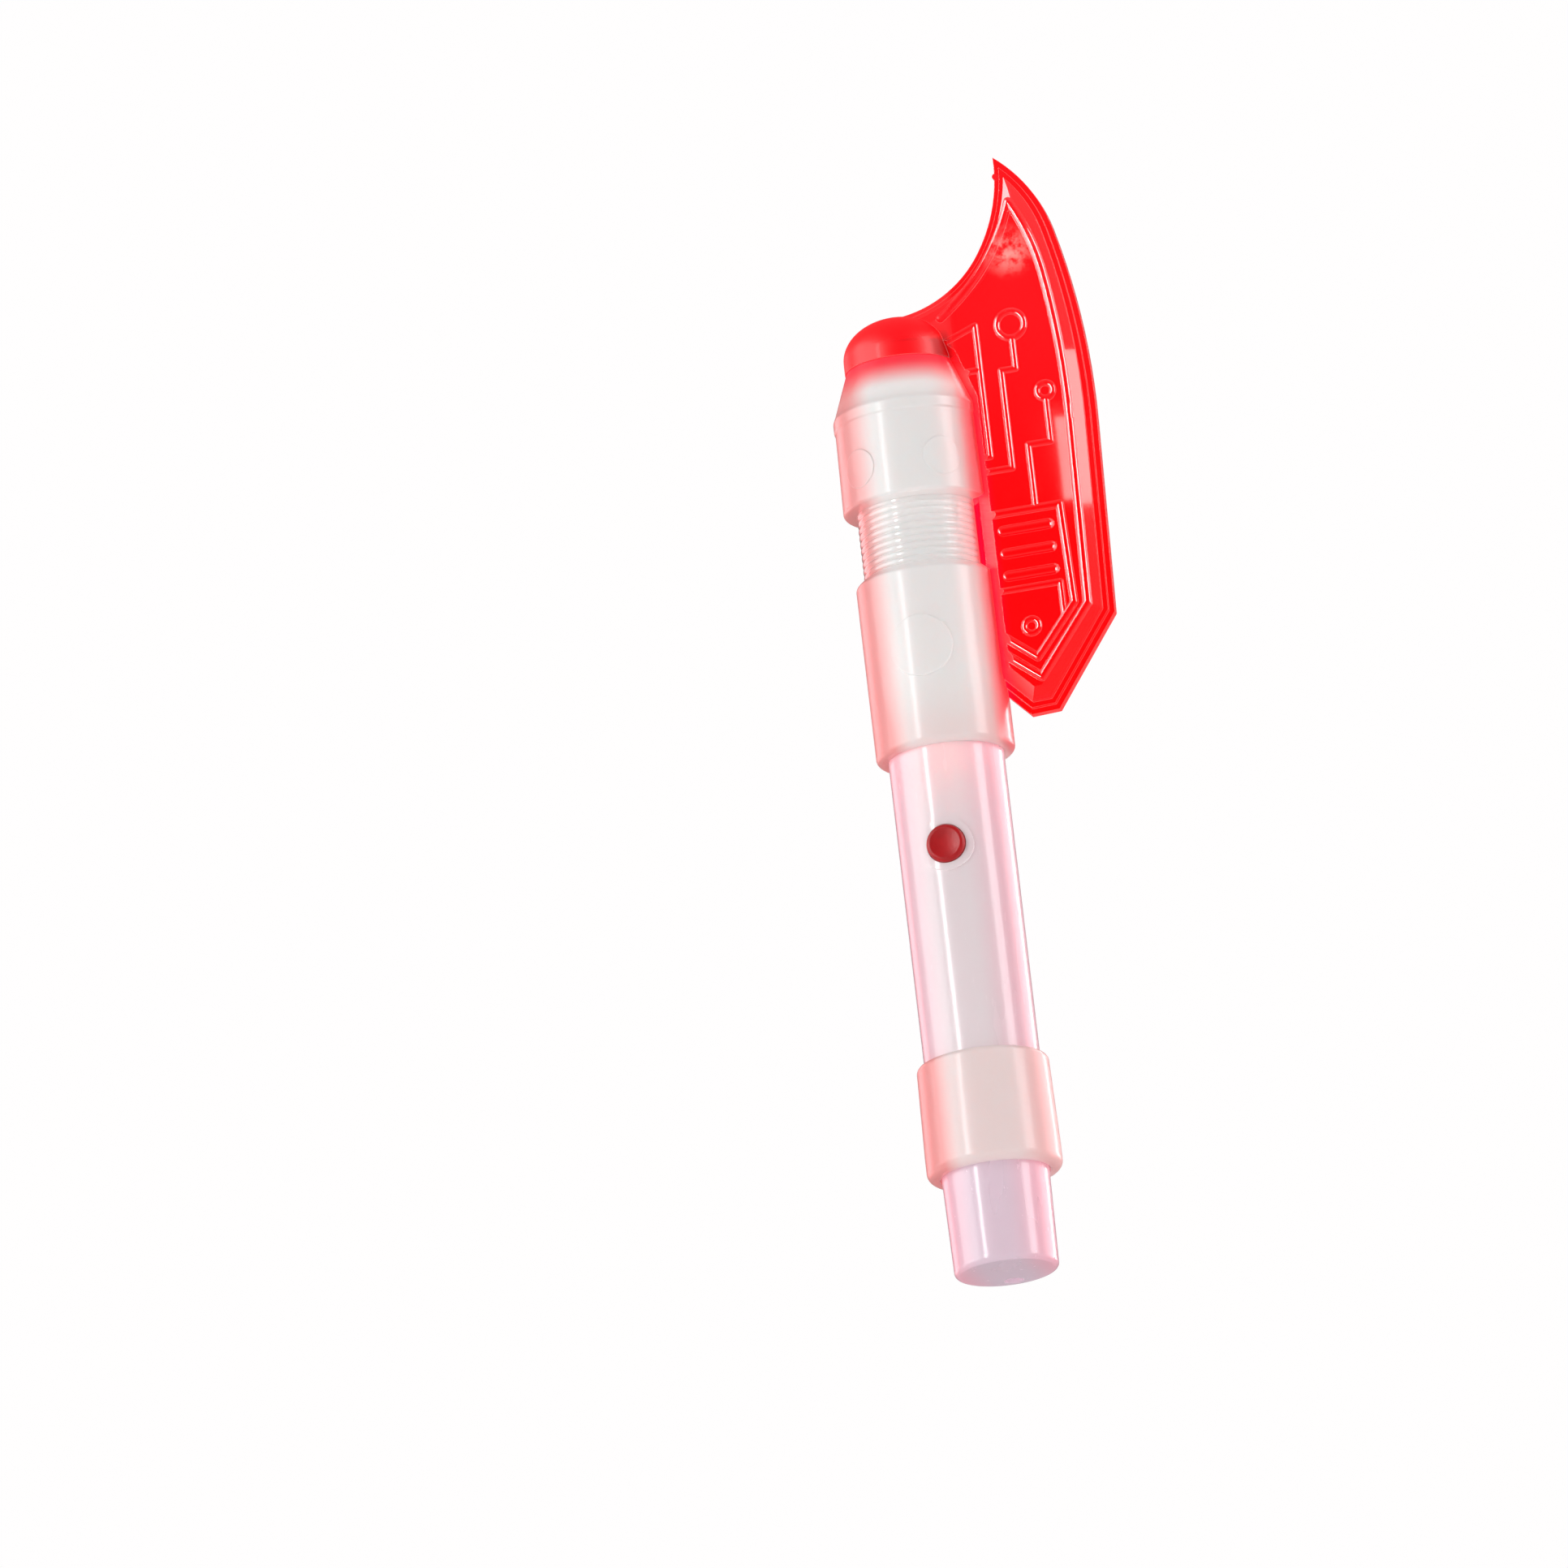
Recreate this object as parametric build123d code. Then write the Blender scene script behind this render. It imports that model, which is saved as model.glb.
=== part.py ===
from build123d import *
import os
from math import atan2, degrees, radians, tan

# A hand-held light-up baton in the form of an axe. A hollow transparent blade with a domed cap
# sits over the head of a milky moulded barrel. A slim tube is the grip and holds two AAA cells,
# a circuit board and a push button. The end cap plugs into the tube and is held by one screw.
# Units are millimetres. +Z runs up the handle, +X points to the blade and -Y to the push button.
# The origin is the middle of the end cap's flat lower face.

# --- cells and the carrier that holds them ---
cell_r = 5.2
cell_body = 43.6
nub_r = 1.9
nub_h = 0.9
cell_gap = 0.25          # around each cell in its bore
bore_web = 0.3           # plastic left between the two bores
carrier_wall = 1.45
carrier_disc_t = 2.2
carrier_top_t = 2.5
plate_t = 0.4
dimple_h = 1.2
spring_h = 4.0           # length of a contact spring as installed
spring_wire_r = 0.35
spring_turns = 3.5

# --- grip tube, collar and end cap ---
tube_gap = 0.3           # between the carrier and the tube
tube_wall = 1.6
sleeve_gap = 0.05        # between the tube and the sleeves glued on it
cap_height = 26.3        # from the lower face to the end of the tube
cap_wall = 1.6
cap_floor = 1.8
cap_draft = 0.4          # the cap is this much slimmer in radius at its lower end
cap_plug_h = 8.0
cap_plug_gap = 0.08
cap_seat_gap = 0.05
cap_edge_r = 1.3
lip_t = 1.3
lip_gap = 0.4
collar_h = 29.0
collar_step = 2.5        # collar radius over the tube radius, at the lower end
collar_taper = 0.5
grip_len = 78.8          # tube that shows between collar and barrel

# --- barrel ---
socket_depth = 14.0
ledge_t = 2.0
barrel_wall = 1.5
lower_bulge_step = 2.9   # radii over the tube's radius
neck_step = 0.6
upper_bulge_step = 3.5
lower_bulge_h = 45.1
flare_h = 2.0
neck_h = 17.3
neck_ribs = 10
rib_depth = 0.45
upper_bulge_h = 24.8
upper_flare = 0.35       # the upper bulge is this much wider at its lower rim
ledge_drop = 0.6         # its flat underside slopes down to the neck by this much
bead_h = 3.6
bead_step = 0.25
shoulder_h = 11.5
shoulder_drop = 0.9      # shoulder's top radius under the tube's radius
spigot_h = 3.5
spigot_step = 1.1
medallion_r = 7.9
medallion_up = 24.8      # above the barrel's lower end
medallion_proud = 0.7
medallion_crown = 15.0
stud_r = 4.9
stud_up = 8.6            # above the neck's top
stud_proud = 0.4
stud_angle = 36.0        # to each side of the front

# --- blade and its domed cap ---
dome_over = 0.5          # dome radius over the shoulder's top radius
dome_wall = 1.3
dome_straight = 3.0
dome_rise = 10.0
blade_half_t = 5.5
blade_wall = 1.3
blade_gap = 0.25         # between the blade's spine and the barrel
flange_w = 1.4
flange_t = 1.2
step_w = 1.3
step_t = 2.4
bevel_w = 3.0
bevel_h = 2.1
hollow_bevel_w = 2.0
hollow_bevel_h = 1.4
spine_tuck = 1.5         # foot of the slope along the barrel, inside the upper bulge's radius
root_tuck = 1.6          # the same beside the domed cap, inside the dome's radius
root_in = 11.9           # the blade's outline runs this far inside the upper bulge's radius
start_run = 2.3          # and this far past the back's first point, inside the dome
ridge_r = 1.15
trace_r = 0.8
bar_r = 1.5
bar_depth = 0.8
ridge_sink = 0.15
# The blade's points are (out, up): out from the upper bulge's surface, up from the dome's rim.
tip = (11.6, 49.9)
back_mid = (5.0, 26.0)
back_start = (-15.6, 13.2)
shoulder_point = (24.5, 29.5)
belly = (30.0, -21.0)
corner = (28.7, -71.0)
toe = (12.1, -93.4)
heel = (4.8, -93.7)
apex = (14.9, 36.7)
rib_mid = (6.6, 21.1)
rib_start = (-5.4, 9.8)
rib_shoulder = (21.4, 17.0)
rib_belly = (23.9, -21.5)
rib_corner = (22.9, -68.8)
rib_toe = (9.4, -85.7)
panel_top = (18.9, -42.6)
panel_corner = (19.6, -68.1)
panel_toe = (9.0, -80.6)

# --- light and switch ---
board_w = 18.0
board_h = 36.0
board_t = 1.0
board_y = -4.0           # rear face of the board
button_up = 20.0         # above the board's lower edge
button_r = 4.8
button_gap = 0.2
button_proud = 1.4
button_travel = 1.0
switch_w = 8.0
switch_h = 3.6
plunger_r = 1.5
led_r = 2.5
led_h = 8.6
led_flange_r = 2.9
led_pitch = 2.54
leg_r = 0.25
head_led_x = 4.5
holder_wall = 1.2
holder_floor = 1.5
lead_r = 0.6
screw_r = 1.1
screw_head_r = 2.2
screw_head_h = 1.6
screw_well_r = 2.5
key_half_w = 1.3
key_h = 3.5
lug_half_w = 2.5
lug_h = 4.0
rail_w = 2.8
pin_r = 0.8
pin_h = 1.6
screw_y = 8.3
screw_bite = 7.0
fit_gap = 0.05

# --- radii and heights that follow from those ---
bore_r = cell_r + cell_gap
cell_x = bore_r + bore_web / 2
carrier_r = cell_x + bore_r + carrier_wall
tube_in_r = carrier_r + tube_gap
grip_r = tube_in_r + tube_wall
lower_bulge_r = grip_r + lower_bulge_step
neck_r = grip_r + neck_step
upper_bulge_r = grip_r + upper_bulge_step
shoulder_r = grip_r - shoulder_drop
spigot_r = shoulder_r - spigot_step
spigot_in_r = spigot_r - barrel_wall
dome_r = shoulder_r + dome_over - 0.2
collar_r = grip_r + collar_step
spine_x = upper_bulge_r - spine_tuck
root_x = dome_r - root_tuck
cap_plug_r = tube_in_r - cap_plug_gap
cap_r = grip_r - 1.0
cell_len = cell_body + nub_h

tube_z0 = cap_height
collar_z0 = tube_z0 - lip_t
collar_z1 = collar_z0 + collar_h
barrel_z0 = collar_z1 + grip_len
tube_z1 = barrel_z0 + socket_depth
flare_z = barrel_z0 + lower_bulge_h
neck_z0 = flare_z + flare_h
neck_z1 = neck_z0 + neck_h
shoulder_z = neck_z1 + upper_bulge_h
rim_z = shoulder_z + shoulder_h
spigot_z1 = rim_z + spigot_h
dome_z = rim_z + dome_straight
plate_z = tube_z0 + cap_plug_h - plate_t
up_cell_z = plate_z + plate_t + spring_h
down_cell_z = plate_z + plate_t + dimple_h + fit_gap
carrier_z0 = up_cell_z - 1.4
top_plate_z = up_cell_z + cell_len + dimple_h
top_wall_z = top_plate_z + plate_t
carrier_z1 = top_wall_z + carrier_top_t
board_z0 = carrier_z1 + fit_gap
board_z1 = board_z0 + board_h
button_z = board_z0 + button_up
hub_y = board_y - board_t - switch_h - button_travel - 0.4
holder_z1 = spigot_z1
holder_z0 = spigot_z1 - 6.0
lug_z = carrier_z0 + 6.4
rail_x = (board_w - rail_w) / 2


def at(point):
    """A blade point as x and z."""
    return (upper_bulge_r + point[0], rim_z + point[1])


def rod(x, y, z0, z1, r):
    """An upright cylinder."""
    return Pos(x, y, z0) * Cylinder(r, z1 - z0, align=(Align.CENTER, Align.CENTER, Align.MIN))


def stub(x, z, y0, y1, r):
    """A cylinder along Y from y0 to y1, with y1 the larger."""
    upright = Cylinder(r, y1 - y0, align=(Align.CENTER, Align.CENTER, Align.MIN))
    return Pos(x, y0, z) * Rot(X=-90) * upright


def block(x0, x1, y0, y1, z0, z1):
    """A box between two corners."""
    return Pos(x0, y0, z0) * Box(x1 - x0, y1 - y0, z1 - z0, align=(Align.MIN,) * 3)


def spun(edges):
    """A closed outline in x and z, turned about the Z axis."""
    return revolve(Plane.XZ * make_face(edges), Axis.Z)


def spun_points(points):
    return spun(Polyline(*points, close=True))


def rounded_ring(body, z, r, radius):
    """Rounds the circular edge of that height and radius."""
    edges = [e for e in body.edges().filter_by(GeomType.CIRCLE)
             if abs(e.center().Z - z) < 1e-3 and abs(e.radius - r) < 1e-3]
    return fillet(edges, radius)


def cord(points, r):
    """A round wire along straight runs with the largest arcs that the runs allow."""
    radii = []
    for before, here, after in zip(points, points[1:], points[2:]):
        run_in = Vector(*here) - Vector(*before)
        run_out = Vector(*after) - Vector(*here)
        half_turn = radians(run_in.get_angle(run_out)) / 2
        radii.append(0.45 * min(run_in.length, run_out.length) / tan(half_turn))
    path = FilletPolyline(*points, radius=radii)
    return sweep(Plane(path @ 0, z_dir=path % 0) * Circle(r), path=path)


# --- barrel ---

def barrel_profile(extra):
    """The barrel's outer outline, grown by extra and without its spigot."""
    lower_r = lower_bulge_r + extra
    waist_r = neck_r + extra
    upper_r = upper_bulge_r + extra
    bead_r = upper_r + bead_step
    bead_z = shoulder_z - bead_h
    return Polyline((0, barrel_z0), (lower_r, barrel_z0), (lower_r, flare_z), (waist_r, neck_z0),
                    (waist_r, neck_z1 - ledge_drop), (upper_r + upper_flare, neck_z1), (upper_r, bead_z),
                    (bead_r, bead_z + 0.5), (bead_r, shoulder_z - 0.8), (upper_r - 0.3, shoulder_z + 0.4),
                    (shoulder_r + extra, rim_z), (0, rim_z), close=True)


def barrel_outside():
    body = spun(barrel_profile(0))
    body = rounded_ring(body, barrel_z0, lower_bulge_r, 1.5)
    body = rounded_ring(body, flare_z, lower_bulge_r, 1.2)
    body = rounded_ring(body, neck_z1, upper_bulge_r + upper_flare, 0.9)
    body = rounded_ring(body, shoulder_z - bead_h + 0.5, upper_bulge_r + bead_step, 0.3)
    body = rounded_ring(body, shoulder_z - 0.8, upper_bulge_r + bead_step, 1.0)
    return body + rod(0, 0, rim_z - 1, spigot_z1, spigot_r)


def barrel_inside():
    w = barrel_wall
    socket_r = grip_r + sleeve_gap
    ledge_r = tube_in_r + 0.1
    return spun_points([
        (0, barrel_z0 - 1), (socket_r, barrel_z0 - 1), (socket_r, tube_z1), (ledge_r, tube_z1),
        (ledge_r, tube_z1 + ledge_t), (lower_bulge_r - w, tube_z1 + 2 * ledge_t),
        (lower_bulge_r - w, flare_z - 0.6), (neck_r - w, neck_z0 - 0.6), (neck_r - w, neck_z1 + 0.8),
        (upper_bulge_r - w, neck_z1 + 1.4), (upper_bulge_r - w, shoulder_z - 0.6),
        (spigot_in_r + 1.0, rim_z - w), (spigot_in_r, rim_z - w + 1.2), (spigot_in_r, spigot_z1 + 1),
        (0, spigot_z1 + 1)])


def medallion(turn):
    """A flatter round pad on the lower bulge."""
    z = barrel_z0 + medallion_up
    face_y = lower_bulge_r + medallion_proud
    pad = stub(0, z, -face_y - 3, -lower_bulge_r / 2, medallion_r)
    pad &= rod(0, medallion_crown - face_y, z - 2 * medallion_r, z + 2 * medallion_r, medallion_crown)
    pad -= rod(0, 0, z - 2 * medallion_r, z + 2 * medallion_r, lower_bulge_r - 0.8)
    front_rim = pad.edges().group_by(Axis.Y)[0]
    pad = fillet(front_rim, 0.3)
    return Rot(Z=turn) * pad


def stud(turn):
    """A low round boss on the upper bulge."""
    z = neck_z1 + stud_up
    pad = stub(0, z, -upper_bulge_r - 3, -upper_bulge_r / 2, stud_r)
    pad &= rod(0, 0, z - 2 * stud_r, z + 2 * stud_r, upper_bulge_r + stud_proud)
    pad -= rod(0, 0, z - 2 * stud_r, z + 2 * stud_r, upper_bulge_r - 0.8)
    return Rot(Z=turn) * pad


def barrel():
    body = barrel_outside()
    for turn in (0, 180):
        body += medallion(turn)
    for turn in (stud_angle, -stud_angle, 180 + stud_angle, 180 - stud_angle):
        body += stud(turn)
    body -= barrel_inside()
    pitch = neck_h / neck_ribs
    crest_r = (rib_depth ** 2 + (pitch / 2) ** 2) / (2 * rib_depth)
    body -= neck_ring(neck_z0, neck_z1 - ledge_drop, rib_depth)
    for i in range(neck_ribs):
        z = neck_z0 + pitch * (i + 0.5)
        if z < neck_z1 - ledge_drop:
            body += Pos(0, 0, z) * Torus(neck_r - crest_r, crest_r)
    return body


def neck_ring(z0, z1, depth):
    """The skin that the neck's round ribs stand in place of."""
    return rod(0, 0, z0, z1, neck_r + 0.01) - rod(0, 0, z0 - 1, z1 + 1, neck_r - depth)


# --- grip tube, collar and end cap ---

def grip_tube():
    body = rod(0, 0, tube_z0, tube_z1, grip_r)
    bezel = stub(0, button_z, -grip_r - 2, -grip_r / 2, button_r + 2.0)
    body += bezel & rod(0, 0, tube_z0, tube_z1, grip_r + 0.5)
    body -= rod(0, 0, tube_z0 - 1, tube_z1 + 1, tube_in_r)
    body -= stub(0, button_z, -grip_r - 2, 0, button_r + button_gap)
    window = lug_half_w + 0.2
    key_w = key_half_w + 0.3
    body -= block(-grip_r - 1, grip_r + 1, -window, window, lug_z - 0.2, lug_z + lug_h + 0.2)
    body -= block(-key_w, key_w, -grip_r - 1, 0, tube_z0 - 1, tube_z0 + key_h + 0.3)
    return body


def lower_collar():
    top_r = collar_r - collar_taper
    body = spun_points([(0, collar_z0), (collar_r, collar_z0), (collar_r, collar_z0 + 6),
                        (top_r, collar_z1), (0, collar_z1)])
    body = rounded_ring(body, collar_z0, collar_r, 2.2)
    body = rounded_ring(body, collar_z1, top_r, 1.4)
    body -= rod(0, 0, tube_z0, collar_z1 + 1, grip_r + sleeve_gap)
    return body - rod(0, 0, collar_z0 - 1, tube_z0 + 1, cap_r + lip_gap)


def end_cap():
    seat_z = tube_z0 - cap_seat_gap
    plug_z1 = tube_z0 + cap_plug_h
    plug_in_r = cap_plug_r - cap_wall + 0.2
    low_r = cap_r - cap_draft
    body = spun_points([(0, 0), (low_r, 0), (cap_r, seat_z), (cap_plug_r, seat_z),
                        (cap_plug_r, plug_z1), (0, plug_z1)])
    body = rounded_ring(body, 0, low_r, cap_edge_r)
    hollow = spun_points([(0, cap_floor), (low_r - cap_wall, cap_floor), (cap_r - cap_wall, seat_z - 2),
                          (plug_in_r, seat_z), (plug_in_r, plug_z1 + 1), (0, plug_z1 + 1)])
    shell = body - hollow
    for side in (-1, 1):
        rib = block(-cap_r, cap_r, side * 3.2 - 0.7, side * 3.2 + 0.7, cap_floor - 0.5, plate_z)
        shell += rib & body
        shell += rod(0, side * 3.2, plate_z - 1, plate_z + plate_t + 0.8, 0.8)
    column_z1 = seat_z + 3.0
    shell += rod(0, screw_y, cap_floor - 0.5, column_z1, screw_well_r + 1.0) & body
    shell -= rod(0, screw_y, -1, column_z1 - 2.0, screw_well_r)
    shell -= rod(0, screw_y, 0, column_z1 + 1, screw_r + fit_gap)
    key = block(-key_half_w, key_half_w, -grip_r + 0.2, -cap_plug_r + 0.8, tube_z0 + 0.1, tube_z0 + key_h)
    return shell + key


def cap_screw():
    head_z = tube_z0 - cap_seat_gap + 1.0 - fit_gap
    screw = rod(0, screw_y, head_z - screw_head_h, head_z, screw_head_r)
    screw = fillet(screw.edges().sort_by(Axis.Z)[:1], 0.5)
    screw += rod(0, screw_y, head_z, carrier_z0 + screw_bite, screw_r)
    slot = block(-1.3, 1.3, screw_y - 0.3, screw_y + 0.3, head_z - screw_head_h, head_z - 0.7)
    cross = block(-0.3, 0.3, screw_y - 1.3, screw_y + 1.3, head_z - screw_head_h, head_z - 0.7)
    return screw - slot - cross


# --- cells, carrier and contacts ---

def cell(x, z, upright):
    body = rod(0, 0, 0, cell_body, cell_r)
    body = fillet(body.edges().filter_by(GeomType.CIRCLE), 0.4)
    body += rod(0, 0, cell_body - 1, cell_body + nub_h, nub_r)
    if upright:
        return Pos(x, 0, z) * body
    return Pos(x, 0, z + cell_len) * Rot(X=180) * body


def contact_spring(x, z0, z1):
    """A cone-shaped coil that stands on z0 and narrows towards z1, or the other way up."""
    base_r, tip_r = 3.9, 2.3
    height = abs(z1 - z0) - 2 * spring_wire_r - 0.04
    cone = -degrees(atan2(base_r - tip_r, height))
    coil = Helix(pitch=height / spring_turns, height=height, radius=base_r, cone_angle=cone)
    wire = sweep(Plane(coil @ 0, z_dir=coil % 0) * Circle(spring_wire_r), path=coil, is_frenet=True)
    start = spring_wire_r + 0.02
    if z1 > z0:
        return Pos(x, 0, z0 + start) * wire
    return Pos(x, 0, z0 - start) * Rot(X=180) * wire


def dimple(x, z, up):
    """A formed bump that touches a cell's nub."""
    cone = Cone(2.2, 1.3, dimple_h, align=(Align.CENTER, Align.CENTER, Align.MIN))
    return Pos(x, 0, z) * (cone if up else Rot(X=180) * cone)


def bridge_plate():
    half_w = 4.2
    half_l = cell_x + 4.2
    plate = block(-half_l, half_l, -half_w, half_w, plate_z, plate_z + plate_t)
    plate = fillet(plate.edges().filter_by(Axis.Z), 1.0)
    plate += dimple(cell_x, plate_z + plate_t, True)
    for side in (-1, 1):
        plate -= rod(0, side * 3.2, plate_z - 1, plate_z + plate_t + 1, 0.9)
    return plate


def top_contact(x):
    disc = rod(x, 0, top_plate_z, top_wall_z, cell_r - 0.1)
    return disc + block(x - 1, x + 1, 3.3, 3.7, top_wall_z - 0.2, carrier_z1 + 2.4)


def battery_carrier():
    body = Part()
    for x in (-cell_x, cell_x):
        body += rod(x, 0, carrier_z0, carrier_z1, bore_r + 1.05)
    body += rod(0, screw_y, carrier_z0, carrier_z0 + screw_bite + 6, screw_r + 1.5)
    middle_z = (carrier_z0 + carrier_z1) / 2
    for z, t in ((carrier_z0, carrier_disc_t), (middle_z, carrier_disc_t), (top_wall_z, carrier_top_t)):
        body += rod(0, 0, z, z + t, carrier_r)
    for side in (-1, 1):
        inner = min(side * (carrier_r - 1.4), side * (grip_r - 0.5))
        outer = max(side * (carrier_r - 1.4), side * (grip_r - 0.5))
        lug = block(inner, outer, -lug_half_w, lug_half_w, lug_z, lug_z + lug_h)
        tips = lug.edges().filter_by(Axis.Y).sort_by(lambda e: -e.center().Z - side * e.center().X)
        body += chamfer(tips[:1], 1.3)
        rail = block(min(side * rail_x, side * (rail_x + rail_w)), max(side * rail_x, side * (rail_x + rail_w)),
                     board_y - board_t - 1.2, board_y + 1.2, top_wall_z, board_z1 - 6)
        body += rail
    for x in (-cell_x, cell_x):
        body -= rod(x, 0, carrier_z0 - 1, top_wall_z, bore_r)
        body -= block(x - 1.2, x + 1.2, 3.1, 3.9, top_wall_z - 1, carrier_z1 + 1)
    body -= rod(0, screw_y, carrier_z0 - 1, carrier_z0 + screw_bite + 2, screw_r + fit_gap)
    half_w = board_w / 2 + fit_gap
    return body - block(-half_w, half_w, board_y - board_t - fit_gap, board_y + fit_gap,
                        carrier_z1, board_z1 + 1)


# --- switch and light ---

def circuit_board():
    board = block(-board_w / 2, board_w / 2, board_y - board_t, board_y, board_z0, board_z1)
    top = board.edges().filter_by(Axis.Y).sort_by(Axis.Z)[-2:]
    board = chamfer(top, 1.5)
    for x, z in ((-4.2, board_z1 - 12), (4.2, board_z1 - 12), (-cell_x, board_z0 + 15), (cell_x, board_z0 + 15)):
        board -= stub(x, z, board_y - board_t - 1, board_y + 1, 0.4)
    return board


def flasher_chip():
    drop = Pos(0, board_y - board_t + 2.9, board_z0 + 7) * Sphere(4.2)
    return drop & block(-5, 5, board_y - board_t - 3, board_y - board_t, board_z0, board_z0 + 14)


def led_resistor():
    front = board_y - board_t
    return block(4.2, 5.8, front - 0.6, front, board_z1 - 9, board_z1 - 5.8)


def switch_case():
    front = board_y - board_t
    half = switch_w / 2
    case = block(-half, half, front - switch_h, front, button_z - half, button_z + half)
    case = fillet(case.edges().filter_by(Axis.Y), 0.5)
    return case - stub(0, button_z, front - switch_h - 1, front - 0.3, plunger_r + fit_gap)


def switch_plunger():
    front = board_y - board_t
    rod_part = stub(0, button_z, hub_y - 0.7, front - 0.3 - button_travel - 0.2, plunger_r)
    return chamfer(rod_part.edges().sort_by(Axis.Y)[0], 0.3)


def push_button():
    face_y = -grip_r - button_proud
    head = stub(0, button_z, face_y, -carrier_r + 1.3, button_r)
    head = fillet(head.faces().sort_by(Axis.Y)[0].edges(), 0.9)
    dish_r = 16.0
    head -= Pos(0, face_y - dish_r + 0.45, button_z) * Sphere(dish_r)
    flange = stub(0, button_z, -grip_r, -carrier_r / 2, button_r + 1.4)
    flange &= rod(0, 0, button_z - 9, button_z + 9, tube_in_r - 0.2)
    flange -= rod(0, 0, button_z - 9, button_z + 9, tube_in_r - 1.4)
    hub = stub(0, button_z, -carrier_r + 1.1, hub_y, 2.6)
    return head + flange + hub - stub(0, button_z, hub_y - 0.75, 0, plunger_r + 0.02)


def led(x, y, z):
    body = rod(x, y, z, z + led_h - led_r, led_r) + Pos(x, y, z + led_h - led_r) * Sphere(led_r)
    return body + rod(x, y, z, z + 1.0, led_flange_r)


def head_led_legs():
    legs = []
    for x in (-head_led_x, head_led_x):
        for side in (-1, 1):
            legs.append(rod(x, side * led_pitch / 2, holder_z0 - 1.8, holder_z0 + holder_floor, leg_r))
    return Compound(legs)


def board_led_legs():
    y = board_y - board_t - leg_r - 0.02
    legs = [rod(side * led_pitch / 2, y, board_z1 - 6, board_z1 + 2.0, leg_r) for side in (-1, 1)]
    return Compound(legs)


def led_holder():
    outer = spigot_in_r - 0.2
    body = rod(0, 0, holder_z0, holder_z1 + 1.0, outer)
    body += rod(0, 0, holder_z1, holder_z1 + 1.0, spigot_r - 0.4)
    body -= rod(0, 0, holder_z0 + holder_floor, holder_z1 + 2, outer - holder_wall)
    for x in (-head_led_x, head_led_x):
        for side in (-1, 1):
            body -= rod(x, side * led_pitch / 2, holder_z0 - 1, holder_z0 + 3, leg_r + 0.2)
    return body


def led_board():
    board = rod(0, 0, holder_z0 - 1.0, holder_z0, spigot_in_r - holder_wall)
    for x in (-head_led_x, head_led_x):
        for side in (-1, 1):
            board -= rod(x, side * led_pitch / 2, holder_z0 - 2, holder_z0 + 1, leg_r + 0.05)
    return board


def battery_lead(side):
    x = side * cell_x
    low = carrier_z1 + 1.2
    near = board_y + lead_r + 0.05
    return cord([(x, 4.4, low), (x, 4.4, low + 6), (x, near, low + 14), (x, near, low + 20)], lead_r)


def head_lead(side):
    """A lead from the board's rear face up to the lamp board in the barrel's head."""
    near = board_y + lead_r + 0.05
    low = board_z1 - 9.0
    high = holder_z0 - 1.05
    rise = high - low - 9.5
    z = low + 9.5
    return cord([(side * 4.2, near, low), (side * 4.2, near, z), (side * 6.6, 1.5, z + 0.28 * rise),
                 (side * 3.2, 2.6, z + 0.62 * rise), (side * head_led_x, 4.2, high)], lead_r)


# --- blade ---

def blade_face(inset):
    """The blade's side outline as a flat face, drawn in by inset."""
    left = upper_bulge_r - root_in
    start = (at(back_start)[0] - start_run, rim_z + back_start[1])
    back = TangentArc(at(back_start), at(back_mid), tangent=(1, 0.12))
    back_top = TangentArc(back @ 1, at(tip), tangent=back % 1)
    lower_edge = Line(at(corner), at(belly))
    edge = TangentArc(at(belly), at(shoulder_point), tangent=lower_edge % 1)
    edge_top = TangentArc(edge @ 1, at(tip), tangent=edge % 1)
    slope = (at(heel)[0] - left) / 0.93
    inner = (left, at(heel)[1] + slope)
    rest = Polyline(at(corner), at(toe), at(heel), inner, (left, rim_z), (start[0], rim_z + 2), start,
                    at(back_start))
    face = make_face(back + back_top + lower_edge + edge + edge_top + rest)
    return offset(face, -inset, kind=Kind.INTERSECTION) if inset else face


def dome(r, rise, z0):
    """The cap's dome with its straight skirt, from z0 up."""
    curve = EllipticalCenterArc((0, dome_z), r, rise, start_angle=0, arc_size=90)
    rest = Polyline((0, dome_z + rise), (0, z0), (r, z0), (r, dome_z))
    return spun(curve + rest)


def slab(inset, depth):
    return extrude(Plane.XZ * blade_face(inset), depth)


def spine_slope():
    """The wedge cut off the plateau along the barrel, so that it slopes down to it."""
    t = blade_half_t - bevel_h
    run = 2 * bevel_w
    rise = 2 * bevel_h
    section = make_face(Polyline((0, -t), (spine_x, -t), (spine_x + run, -t - rise), (0, -t - rise), close=True))
    z0 = at(toe)[1] - 5
    lean = Vector(root_x - spine_x, 0, rim_z + 1 - shoulder_z)
    tuck = Vector(-bevel_w, 0, bevel_w)
    wedge = extrude(Pos(0, 0, z0) * section, shoulder_z - z0, dir=(0, 0, 1))
    wedge += extrude(Pos(0, 0, shoulder_z) * section, lean.length, dir=lean)
    return wedge + extrude(Pos(lean.X, 0, rim_z + 1) * section, tuck.length, dir=tuck)


def bevelled_slab(inset, depth, across, down):
    body = slab(inset, depth)
    top = body.faces().sort_by(Axis.Y)[0]
    return chamfer(top.edges(), across, down, reference=top)


def ridge(points, r, depth=blade_half_t):
    """A raised line along straight runs, round at its ends and corners."""
    y = -depth + ridge_sink
    parts = []
    for p in points:
        parts.append(Pos(p[0], y, p[1]) * Sphere(r))
    for (x0, z0), (x1, z1) in zip(points, points[1:]):
        run = Line((x0, y, z0), (x1, y, z1))
        parts.append(sweep(Plane(run @ 0, z_dir=run % 0) * Circle(r), path=run))
    return parts


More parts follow.
